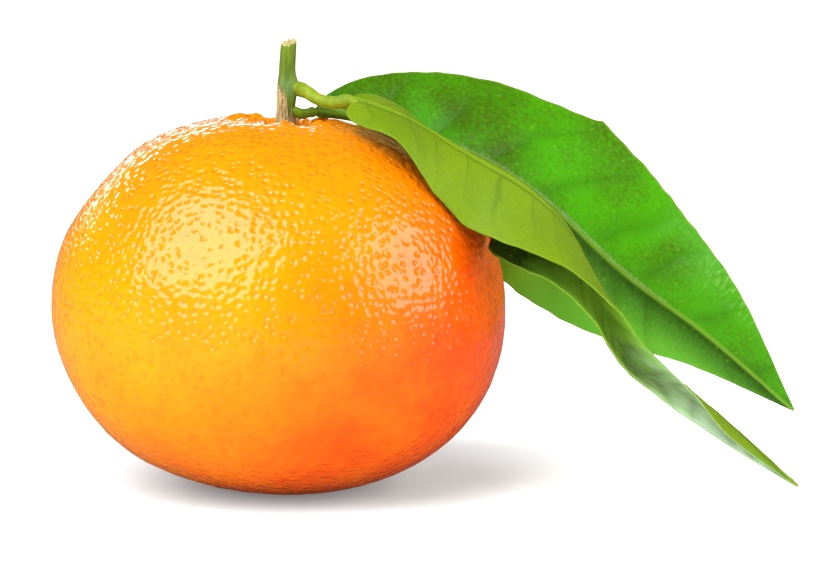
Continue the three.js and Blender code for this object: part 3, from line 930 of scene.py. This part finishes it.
def blade_sheet(leaf):
    """The blade's middle surface in rows across the midrib, and the marks of its points."""
    base = leaf["base"] + Vector((JOINT_GAP + leaf["stalk_width"] * 0.1, 0, 0))
    points = in_metres(leaf["route"])
    scale = leaf["length"] / Route(points).lengths[-1]
    route = Route([point * scale for point in points])
    peak, taper = leaf["fullest_at"], leaf["taper"]
    rows, across_rows, along_rows = [], [], []
    for step in range(LEAF_STEPS + 1):
        at = 0.004 + 0.992 * step / LEAF_STEPS
        along = route.direction(at)
        middle = route.at(at) + base
        forward = (Vector((0, -1, 0)) + along * along.y).normalized()
        down = along.cross(forward)
        outline = (at / peak) ** taper * ((1 - at) / (1 - peak)) ** (taper * (1 - peak) / peak)
        crenate = 1 + 0.008 * math.sin(at * leaf["length"] / 0.0022 * math.pi) * math.sin(at * 40)
        half_width = leaf["half_width"] * outline * crenate + 0.5 * leaf["stalk_width"] * (1 - at) ** 6
        row, across = [], []
        for half, side in (("far_angles", -1), ("near_angles", 1)):
            angle = math.radians(value_along(leaf["stations"], leaf[half], at))
            turn = math.radians(-side * leaf["curl"])
            start = angle - turn / 2
            # One blunt corner stands out of the far margin.
            from_corner = abs(at * leaf["length"] - leaf["corner_at"])
            corner = leaf["corner_share"] * math.exp(-from_corner / 0.0035) if side < 0 else 0.0
            reach = half_width * (1 + corner) / turn
            columns = range(LEAF_COLUMNS, -1, -1) if side < 0 else range(1, LEAF_COLUMNS + 1)
            for column in columns:
                share = column / LEAF_COLUMNS
                fall = reach * (math.sin(start + turn * share) - math.sin(start))
                lead = reach * (math.cos(start) - math.cos(start + turn * share))
                point = middle + down * fall + forward * lead
                row.append(clear_of_peel(point, BLADE_CLEARANCE + BLADE_THICKNESS))
                across.append((side * share, half_width * share))
        rows.append(row)
        across_rows.append(across)
        along_rows.append(at * leaf["length"])
    return rows, across_rows, along_rows


def blade_rings(leaf):
    rows, across_rows, along_rows = blade_sheet(leaf)
    rings = []
    marks = {"vein": [], "furrow": [], "under": [], "edge": [], "along": [], "away": []}
    last = len(rows) - 1
    width = 2 * LEAF_COLUMNS
    for i, row in enumerate(rows):
        before, after = rows[max(i - 1, 0)], rows[min(i + 1, last)]
        upper, lower, upper_marks = [], [], []
        for j, point in enumerate(row):
            across, away = across_rows[i][j]
            tangent = after[j] - before[j]
            normal = (row[min(j + 1, width)] - row[max(j - 1, 0)]).cross(tangent).normalized()
            vein, furrow = side_vein(leaf, along_rows[i], away, 1 if across > 0 else -1)
            inside = min(abs(across) * 6, 1) * (1 - abs(across) ** 3)
            vein *= inside * (1 - 0.5 * abs(across))
            furrow *= inside
            fade = 1 - 0.9 * i / last
            swell = MIDRIB_SWELL * hill(along_rows[i], 0.006)
            rib = hill(away, MIDRIB_WIDTH * (0.55 + 0.45 * fade) + swell) * (MIDRIB_HEIGHT * fade + swell)
            thickness = BLADE_THICKNESS + (MARGIN_THICKNESS - BLADE_THICKNESS) * abs(across)
            # The under face carries the tall rib and raised veins, the upper face a low rib and furrows.
            face = 1 if leaf["rib_above"] else -1
            shift = face * (QUILT_RELIEF * furrow + VEIN_RELIEF * vein)
            tall = thickness / 2 + rib
            small = thickness / 2 + rib * 0.8
            top = shift + (tall if leaf["rib_above"] else small)
            bottom = shift - (small if leaf["rib_above"] else tall)
            upper.append(point + normal * top)
            lower.append(point + normal * bottom)
            upper_marks.append((vein, furrow, abs(across), away * (1 if across > 0 else -1)))
        rings.append(upper + lower[::-1])
        under = 1.0 if leaf["rib_above"] else 0.0
        both = upper_marks + upper_marks[::-1]
        marks["under"].append([under] * len(upper) + [1 - under] * len(lower))
        for k, mark in enumerate(("vein", "furrow", "edge", "away")):
            marks[mark].append([values[k] for values in both])
        marks["along"].append([along_rows[i]] * len(both))
    return rings, marks


UPPER_GREEN = (0.046, 0.115, 0.0003)
UPPER_BRIGHT = (0.052, 0.290, 0.0002)
UPPER_PAINTED_SHADE = (0.020, 0.084, 0.0004)
UPPER_SHADED_OLIVE = (0.165, 0.205, 0.008)
UPPER_MARGIN_SHEEN = (0.120, 0.440, 0.020)
UPPER_SHEEN = (0.260, 0.480, 0.110)
TROUGH_PAINTED_SHADE = (0.016, 0.034, 0.002)
TROUGH_LIT_GREEN = (0.240, 0.620, 0.045)
TROUGH_PAINTED_SHEEN = (0.580, 0.860, 0.600)
UNDER_LIME = (0.160, 0.260, 0.0005)
UNDER_GREEN = (0.125, 0.225, 0.003)
UNDER_VEIN = (0.070, 0.150, 0.002)
MIDRIB_PALE = (0.170, 0.310, 0.018)
MIDRIB_LIME = (0.150, 0.270, 0.004)
MIDRIB_BROWN = (0.240, 0.260, 0.030)
EDGE_PALE = (0.190, 0.330, 0.006)
FRECKLE = (0.260, 0.440, 0.006)
LEAF_THROWN = (0.400, 0.260, 0.060)


def open_upper_face(tree, on_leaf, along, away):
    """The back leaf's upper face: bright beyond the midrib with a painted sheen near its tip; below the
    midrib painted shade, with an olive of painted shade near the base and a painted grey-green sheen
    towards its margin.
    """
    lean = limit(tree, along, 0.010, 0.055) * 0.35 - 0.18
    green = mottled(tree, on_leaf, UPPER_GREEN, UPPER_BRIGHT, 0.012, grain=0.0006, depth=0.65, lean=lean)
    fine = clouds(tree, merge(tree, along * 4.0, away, 0.0), 0.0016, detail=4.0)
    # Painted sheen: pale streaks near the tip of the far margin.
    painted_sheen_mask = limit(tree, along, 0.058, 0.068) * limit(tree, away * -1.0, 0.004, 0.009)
    bright = blend(tree, limit(tree, fine, 0.5, 0.68) * painted_sheen_mask * 0.7, green["Colour"], UPPER_SHEEN)
    # Below the midrib the colour is painted shade, olive near the base, lightening to a painted sheen at
    # the margin.
    olive_to_margin_sheen = blend(tree, limit(tree, along, 0.03, 0.055), UPPER_SHADED_OLIVE, UPPER_MARGIN_SHEEN)
    reach = limit(tree, away + (fine - 0.5) * 0.004, 0.0005, 0.0075)
    below = blend(tree, reach, UPPER_PAINTED_SHADE, olive_to_margin_sheen)
    return blend(tree, limit(tree, away, -0.0002, 0.0006), bright, below)


def trough_face(tree, _, along, away):
    """The front leaf's upper face, inside its fold: painted shade where it is shut, and where it opens
    out the leaf's green brightened as painted light, paling to a painted sheen towards the tip.
    """
    drawn_out = merge(tree, along, away * 5.0, 0.0)
    streaks = clouds(tree, drawn_out, 0.004, detail=4.0)
    out_of_painted_shade = limit(tree, along + (streaks - 0.5) * 0.006, 0.036, 0.048)
    into_painted_sheen = limit(tree, along + (streaks - 0.5) * 0.03, 0.054, 0.074)
    lit_green_and_sheen = blend(tree, into_painted_sheen, TROUGH_LIT_GREEN, TROUGH_PAINTED_SHEEN)
    return blend(tree, out_of_painted_shade, TROUGH_PAINTED_SHADE, lit_green_and_sheen)


def leaf_material(name, upper_face, rib_base, rib_end):
    material, tree, surface, _ = new_material(name)
    marks = ("vein", "furrow", "under", "edge", "along", "away")
    vein, furrow, under, edge, along, away = (mark_of(tree, mark) for mark in marks)
    on_leaf = merge(tree, along, away, under * 0.5)
    lime = mottled(tree, on_leaf, UNDER_LIME, UNDER_GREEN, 0.008, grain=0.0004, depth=0.5, lean=-0.06)
    net = bump(tree, cells(tree, on_leaf, 0.0013, feature="DISTANCE_TO_EDGE"), 0.05)
    # Painted shade darkens the furrows that the side veins lie in, and the veins a little.
    upper = blend(tree, furrow * 0.32 + vein * 0.15, upper_face(tree, on_leaf, along, away), UPPER_PAINTED_SHADE)
    lower = blend(tree, calc(tree, "MINIMUM", vein * 0.7 + net * 0.2, 0.8), lime["Colour"], UNDER_VEIN)
    colour = blend(tree, under, upper, lower)
    freckles = gland_dots(tree, on_leaf, 0.0012, reach=0.12)
    colour = blend(tree, freckles * (0.45 - under * 0.3), colour, FRECKLE)
    from_midrib = calc(tree, "ABSOLUTE", away)
    rib_colour = blend(tree, limit(tree, along, 0.040, 0.050), rib_base, rib_end)
    # A thin line of painted shade runs along each side of the raised midrib, stronger on the under face.
    painted_shade_beside_midrib = bump(tree, from_midrib - 0.0007, 0.0002)
    colour = blend(tree, painted_shade_beside_midrib * (under * 0.4 + 0.15), colour, UPPER_PAINTED_SHADE)
    colour = blend(tree, bump(tree, from_midrib, 0.0003) * 0.85, colour, rib_colour)
    colour = blend(tree, limit(tree, edge, 0.97, 0.995) * 0.55, colour, EDGE_PALE)
    # The light that a leaf throws on the peel beside it is painted warm: diffuse and glossy rays meet a
    # warm tan in place of the leaf's green, in its bounce and in its reflection in the peel.
    thrown = ray(tree, "Is Diffuse Ray") + ray(tree, "Is Glossy Ray")
    colour = blend(tree, thrown * 0.8, colour, LEAF_THROWN)
    streaks = clouds(tree, on_leaf, 0.0016, detail=4.0)
    coat(tree, surface, colour, 0.34 + under * 0.26 + (streaks - 0.5) * 0.2)
    surface.inputs["Specular IOR Level"].default_value = 0.2
    height = streaks * 0.6 + net * (under * 2.0 - 1.0) * 0.15 - freckles * 0.2
    relief(tree, surface, height, 0.00007)
    return material


HAIR_COUNT = 600
HAIR_LENGTH = 0.0009
HAIR_WIDTH = 0.00006
HAIR_SEED = 5
HAIR_ROWS = range(70, 215)  # of the blade, along which the midrib carries hairs
HAIR_WHITE = (0.42, 0.55, 0.30)


def hair_material():
    material, tree, surface, position = new_material("leaf_hair")
    tint = clouds(tree, position, 0.002, detail=1.0)
    coat(tree, surface, blend(tree, tint, MIDRIB_PALE, HAIR_WHITE), 0.6)
    return material


def hair_tree():
    """Short soft hairs that lean forwards out of a line of points, each with its own turn and length."""
    inputs = {"Line": "Geometry", "Count": "Int", "Length": "Float", "Width": "Float", "Seed": "Int"}
    tree, size, result = new_tree("leaf_hairs", "GeometryNodeTree", inputs, {"Hairs": "Geometry"})
    curve = next_step(tree, "GeometryNodeMeshToCurve", size["Line"].socket)
    points = next_step(tree, "GeometryNodeCurveToPoints", curve.outputs[0])
    put(tree, size["Count"], points.inputs["Count"])
    hair = tree.nodes.new("GeometryNodeMeshCone")
    hair.inputs["Vertices"].default_value = 3
    put(tree, size["Width"] * 0.5, hair.inputs["Radius Bottom"])
    put(tree, size["Length"], hair.inputs["Depth"])
    placed = next_step(tree, "GeometryNodeInstanceOnPoints", points.outputs["Points"])
    tree.links.new(hair.outputs["Mesh"], placed.inputs["Instance"])
    turn = tree.nodes.new("FunctionNodeRandomValue")
    turn.data_type = "FLOAT_VECTOR"
    turn.inputs[0].default_value = (-0.9, 0.1, -0.5)
    turn.inputs[1].default_value = (0.3, 1.1, 0.5)
    put(tree, size["Seed"], turn.inputs["Seed"])
    tree.links.new(turn.outputs[0], placed.inputs["Rotation"])
    growth = tree.nodes.new("FunctionNodeRandomValue")
    growth.inputs[2].default_value = 0.35
    growth.inputs[3].default_value = 1.0
    put(tree, size["Seed"] + 1, growth.inputs["Seed"])
    tree.links.new(growth.outputs[1], placed.inputs["Scale"])
    finish_tree(tree, placed.outputs[0], hair_material(), result)
    return tree


def rib_line(leaf):
    """The top of the midrib as a bare line of points, over the stretch that carries hairs."""
    rows, _, _ = blade_sheet(leaf)
    lift = BLADE_THICKNESS / 2 + MIDRIB_HEIGHT * 0.6
    line = []
    for i in HAIR_ROWS:
        row = rows[i]
        tangent = rows[i + 1][LEAF_COLUMNS] - rows[i - 1][LEAF_COLUMNS]
        normal = (row[LEAF_COLUMNS + 1] - row[LEAF_COLUMNS - 1]).cross(tangent).normalized()
        line.append(row[LEAF_COLUMNS] + normal * lift + Vector((0, 0, 0.0003)))
    mesh = bpy.data.meshes.new("rib_line")
    mesh.from_pydata(line, [(i, i + 1) for i in range(len(line) - 1)], [])
    return mesh


for leaf, upper_face, rib_base, rib_end in (
    (FRONT_LEAF, trough_face, MIDRIB_LIME, MIDRIB_BROWN),
    (BACK_LEAF, open_upper_face, MIDRIB_PALE, MIDRIB_PALE),
):
    rings, marks = blade_rings(leaf)
    skin = leaf_material(leaf["name"] + "_skin", upper_face, rib_base, rib_end)
    blade = closed_body(leaf["name"] + "_blade", rings, skin, marks)
    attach(blade, "root")
    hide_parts(leaf["name"])

hair_sizes = {"Count": HAIR_COUNT, "Length": HAIR_LENGTH, "Width": HAIR_WIDTH, "Seed": HAIR_SEED}
hairs = grow("midrib_hairs", hair_tree(), hair_sizes, rib_line(BACK_LEAF))
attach(hairs, "root")


# ---- studio -------------------------------------------------------------------------------------
# The mandarin lies on a white sweep between two large soft boxes, with a strip behind and a fill above,
# in a dim room with a lit white wall. The sweep is lit from below as it runs out, so that it ends in
# the same white as the wall.

FLOOR_REACH = 6.0
ROOM_LIGHT = 0.2
WALL_WHITE = 1.15
SWEEP_DARK_REACH = 0.03
SWEEP_WHITE_REACH = 0.09
SWEEP_LEAST_GLOW = 0.15
SWEEP_GLOW = 1.1
CAMERA_DISTANCE = 0.495
CAMERA_ELEVATION = math.radians(8)
CAMERA_LENS = 150

middle = (cad_box[0] + cad_box[1]) / 2


def floor_material():
    material, tree, surface, position = new_material("white_sweep")
    dust = clouds(tree, position, 0.04)
    glossy = ray(tree, "Is Glossy Ray")
    white = blend(tree, dust, (0.93, 0.93, 0.93), (0.95, 0.95, 0.95))
    # Painted reflection: in reflections the sweep is dark grey and glows less than the camera sees it.
    white = blend(tree, glossy, white, (0.12, 0.11, 0.10))
    coat(tree, surface, white, 0.9)
    away = vector_calc(tree, "DISTANCE", position, (0, 0, 0))
    lit = limit(tree, away, SWEEP_DARK_REACH, SWEEP_WHITE_REACH)
    glow = SWEEP_LEAST_GLOW + lit * (1.0 - SWEEP_LEAST_GLOW)
    put(tree, glow * (SWEEP_GLOW - glossy), surface.inputs["Emission Strength"])
    surface.inputs["Emission Color"].default_value = (1, 1, 1, 1)
    surface.inputs["Specular IOR Level"].default_value = 0.1
    return material


floor_mesh = bpy.data.meshes.new("floor")
corners = [(x * FLOOR_REACH, y * FLOOR_REACH, 0) for x, y in ((-1, -1), (1, -1), (1, 1), (-1, 1))]
floor_mesh.from_pydata(corners, [], [(0, 1, 2, 3)])
floor_mesh.materials.append(floor_material())
floor = bpy.data.objects.new("floor", floor_mesh)
scene.collection.objects.link(floor)


def soft_box(name, azimuth, elevation, distance, width, height, radiance, in_gloss=True):
    """A soft box on a stand round the object. Azimuth 0 is in front of it, and 90 at its right."""
    turn, rise = math.radians(azimuth), math.radians(elevation)
    away = Vector((math.sin(turn) * math.cos(rise), -math.cos(turn) * math.cos(rise), math.sin(rise)))
    light = bpy.data.lights.new(name, "AREA")
    light.shape = "RECTANGLE"
    light.size = width
    light.size_y = height
    light.energy = radiance * math.pi * width * height
    lamp = bpy.data.objects.new(name, light)
    facing = away.to_track_quat("Z", "Y").to_matrix().to_4x4()
    lamp.matrix_world = Matrix.Translation(middle + away * distance) @ facing
    lamp.visible_glossy = in_gloss
    scene.collection.objects.link(lamp)


soft_box("left_soft_box", -49, 42, 0.55, 0.60, 0.58, 4.2)
soft_box("right_soft_box", 75, 27, 0.6, 0.46, 0.46, 3.6)
soft_box("back_strip", 187, 14, 0.7, 1.0, 0.08, 5.0)
soft_box("overhead_fill", -22, 60, 0.8, 0.6, 0.6, 2.1, in_gloss=False)

world = bpy.data.worlds.new("white_room")
scene.world = world
world.use_nodes = True
sky = world.node_tree.nodes["Background"]
sky.inputs["Color"].default_value = (1, 1, 1, 1)
seen = ray(world.node_tree, "Is Camera Ray")
glossy = ray(world.node_tree, "Is Glossy Ray")
strength = ROOM_LIGHT - glossy * (ROOM_LIGHT * 0.7) + seen * (WALL_WHITE - ROOM_LIGHT)
put(world.node_tree, strength, sky.inputs["Strength"])

look_at = middle + Vector((-0.0026, 0, -0.0043))
camera = bpy.data.objects.new("camera", bpy.data.cameras.new("camera"))
camera.data.lens = CAMERA_LENS
camera.data.sensor_width = 36
back = Vector((0, -math.cos(CAMERA_ELEVATION), math.sin(CAMERA_ELEVATION)))
camera.location = look_at + back * CAMERA_DISTANCE
camera.rotation_euler = (math.radians(90) - CAMERA_ELEVATION, 0, 0)
scene.collection.objects.link(camera)
scene.camera = camera
scene.view_settings.view_transform = "Standard"
